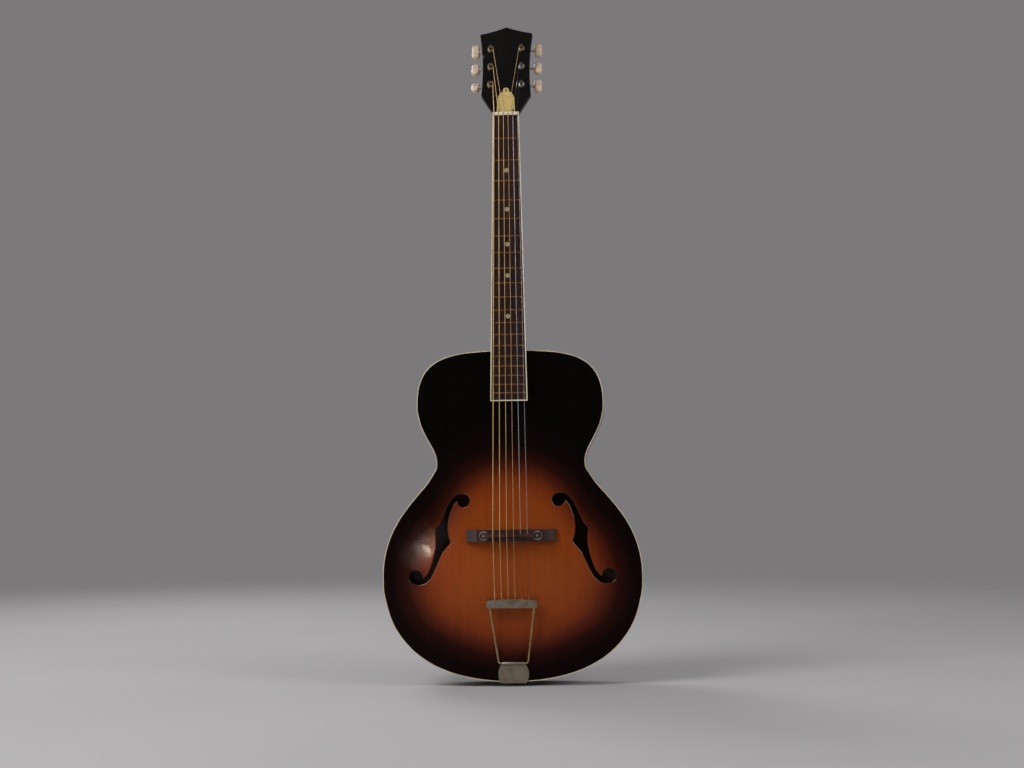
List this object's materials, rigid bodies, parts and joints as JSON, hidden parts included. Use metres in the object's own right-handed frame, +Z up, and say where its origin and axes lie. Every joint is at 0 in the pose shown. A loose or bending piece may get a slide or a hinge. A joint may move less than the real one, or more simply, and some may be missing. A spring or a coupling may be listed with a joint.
{
  "type": "archtop guitar",
  "caption": "Archtop acoustic guitar with carved f-hole body, bound fingerboard, open-geared tuners, height-adjustable floating bridge and hinged wire tailpiece",
  "frame": {"origin": "lowest point of the rim at the tail, on the centre line and half way through the rim's depth, where a stand's cradle carries the body", "axes": "+Z up the centre line from tail to head, -Y the front with the strings, +X the treble side"},
  "size_m": [0.4, 0.1425, 1.0344],
  "materials": {
    "spruce": "gloss sunburst lacquer",
    "maple": "gloss dark brown lacquer",
    "block_wood": "bare",
    "cream_celluloid": "aged gloss",
    "neck_wood": "gloss dark brown lacquer",
    "head_lacquer": "gloss black",
    "rosewood": "satin",
    "fret_wire": "polished",
    "pearl": "pearl",
    "bone": "aged",
    "steel": "dull",
    "brass": "dull",
    "cover_celluloid": "aged gloss",
    "nickel": "dull nickel",
    "button_plastic": "aged gloss",
    "pin_plastic": "aged gloss",
    "bronze_winding": "wound",
    "plain_steel": "polished"
  },
  "bodies": {
    "guitar": {"top_plate": "spruce", "back_plate": "maple", "side_bass": "maple", "side_treble": "maple", "top_binding": "cream_celluloid", "back_binding": "cream_celluloid", "neck_block": "block_wood", "end_block": "block_wood", "linings": "block_wood", "tone_bars": "spruce", "neck": "neck_wood", "head_veneer": "head_lacquer", "truss_rod": "steel", "truss_rod_cover": "cover_celluloid", "head_screws": "steel", "fingerboard": "rosewood", "fingerboard_binding": "cream_celluloid", "frets": "fret_wire", "position_dots": "pearl", "nut": "bone", "tuner_strip_bass": "nickel", "tuner_strip_treble": "nickel", "tuner_bushings": "nickel", "bridge_base": "rosewood", "bridge_posts": "nickel", "tailpiece_bracket": "nickel", "tailpiece_screws": "steel", "end_pin": "pin_plastic", "wound_strings": "bronze_winding", "plain_strings": "plain_steel"},
    "truss_nut": {"truss_rod_nut": "brass"},
    "saddle": {"bridge_saddle": "rosewood"},
    "wheel_bass": {"thumbwheel_bass": "nickel"},
    "wheel_treble": {"thumbwheel_treble": "nickel"},
    "tailpiece": {"tailpiece_frame": "nickel", "tailpiece_crossbar": "nickel"},
    "button_1": {"tuner_button_1": "button_plastic", "tuner_worm_1": "nickel"},
    "post_1": {"tuner_post_1": "nickel", "tuner_gear_1": "brass"},
    "button_2": {"tuner_button_2": "button_plastic", "tuner_worm_2": "nickel"},
    "post_2": {"tuner_post_2": "nickel", "tuner_gear_2": "brass"},
    "button_3": {"tuner_button_3": "button_plastic", "tuner_worm_3": "nickel"},
    "post_3": {"tuner_post_3": "nickel", "tuner_gear_3": "brass"},
    "button_4": {"tuner_button_4": "button_plastic", "tuner_worm_4": "nickel"},
    "post_4": {"tuner_post_4": "nickel", "tuner_gear_4": "brass"},
    "button_5": {"tuner_button_5": "button_plastic", "tuner_worm_5": "nickel"},
    "post_5": {"tuner_post_5": "nickel", "tuner_gear_5": "brass"},
    "button_6": {"tuner_button_6": "button_plastic", "tuner_worm_6": "nickel"},
    "post_6": {"tuner_post_6": "nickel", "tuner_gear_6": "brass"}
  },
  "joints": [
    {"name": "tuner_1_button", "type": "hinge", "parent": "guitar", "child": "button_1", "pos_m": [-0.0243, 0.00136, 0.92951], "axis": [-1, 0, 0], "continuous": true},
    {"name": "tuner_1_post", "type": "hinge", "parent": "guitar", "child": "post_1", "pos_m": [-0.0243, -0.01964, 0.92833], "axis": [0, -0.9588, 0.284], "continuous": true},
    {"name": "tuner_2_button", "type": "hinge", "parent": "guitar", "child": "button_2", "pos_m": [-0.0243, 0.01045, 0.96019], "axis": [-1, 0, 0], "continuous": true},
    {"name": "tuner_2_post", "type": "hinge", "parent": "guitar", "child": "post_2", "pos_m": [-0.0243, -0.01056, 0.95901], "axis": [0, -0.9588, 0.284], "continuous": true},
    {"name": "tuner_3_button", "type": "hinge", "parent": "guitar", "child": "button_3", "pos_m": [-0.0243, 0.01954, 0.99088], "axis": [-1, 0, 0], "continuous": true},
    {"name": "tuner_3_post", "type": "hinge", "parent": "guitar", "child": "post_3", "pos_m": [-0.0243, -0.00147, 0.98969], "axis": [0, -0.9588, 0.284], "continuous": true},
    {"name": "tuner_4_button", "type": "hinge", "parent": "guitar", "child": "button_4", "pos_m": [0.0243, 0.01954, 0.99088], "axis": [1, 0, 0], "continuous": true},
    {"name": "tuner_4_post", "type": "hinge", "parent": "guitar", "child": "post_4", "pos_m": [0.0243, -0.00147, 0.98969], "axis": [0, -0.9588, 0.284], "continuous": true},
    {"name": "tuner_5_button", "type": "hinge", "parent": "guitar", "child": "button_5", "pos_m": [0.0243, 0.01045, 0.96019], "axis": [1, 0, 0], "continuous": true},
    {"name": "tuner_5_post", "type": "hinge", "parent": "guitar", "child": "post_5", "pos_m": [0.0243, -0.01056, 0.95901], "axis": [0, -0.9588, 0.284], "continuous": true},
    {"name": "tuner_6_button", "type": "hinge", "parent": "guitar", "child": "button_6", "pos_m": [0.0243, 0.00136, 0.92951], "axis": [1, 0, 0], "continuous": true},
    {"name": "tuner_6_post", "type": "hinge", "parent": "guitar", "child": "post_6", "pos_m": [0.0243, -0.01964, 0.92833], "axis": [0, -0.9588, 0.284], "continuous": true},
    {"name": "saddle_height", "type": "slide", "parent": "guitar", "child": "saddle", "axis": [0, -1, 0], "range_m": [-0.0015, 0.003], "deforming": ["wound_strings", "plain_strings"]},
    {"name": "thumbwheel_bass_turn", "type": "hinge", "parent": "saddle", "child": "wheel_bass", "pos_m": [-0.0408, -0.0719, 0.22382], "axis": [0, -1, 0], "range_deg": [-681, 1361], "deforming": ["wound_strings", "plain_strings"]},
    {"name": "thumbwheel_treble_turn", "type": "hinge", "parent": "saddle", "child": "wheel_treble", "pos_m": [0.0408, -0.0719, 0.22382], "axis": [0, -1, 0], "range_deg": [-681, 1361], "deforming": ["wound_strings", "plain_strings"]},
    {"name": "tailpiece_swing", "type": "hinge", "parent": "guitar", "child": "tailpiece", "pos_m": [0, -0.04678, 0.0285], "axis": [1, 0, 0], "range_deg": [-3, 3], "deforming": ["wound_strings", "plain_strings"]},
    {"name": "truss_nut_turn", "type": "hinge", "parent": "guitar", "child": "truss_nut", "pos_m": [0, -0.02515, 0.88784], "axis": [0, 0.061, 0.9981], "range_deg": [-90, 90]}
  ],
  "couplings": [
    {"joint": "tuner_1_post", "follows": "tuner_1_button", "ratio": -0.071429},
    {"joint": "tuner_2_post", "follows": "tuner_2_button", "ratio": -0.071429},
    {"joint": "tuner_3_post", "follows": "tuner_3_button", "ratio": -0.071429},
    {"joint": "tuner_4_post", "follows": "tuner_4_button", "ratio": 0.071429},
    {"joint": "tuner_5_post", "follows": "tuner_5_button", "ratio": 0.071429},
    {"joint": "tuner_6_post", "follows": "tuner_6_button", "ratio": 0.071429},
    {"joint": "thumbwheel_bass_turn", "follows": "saddle_height", "rad_per_m": 7915.8},
    {"joint": "thumbwheel_treble_turn", "follows": "saddle_height", "rad_per_m": 7915.8}
  ]
}
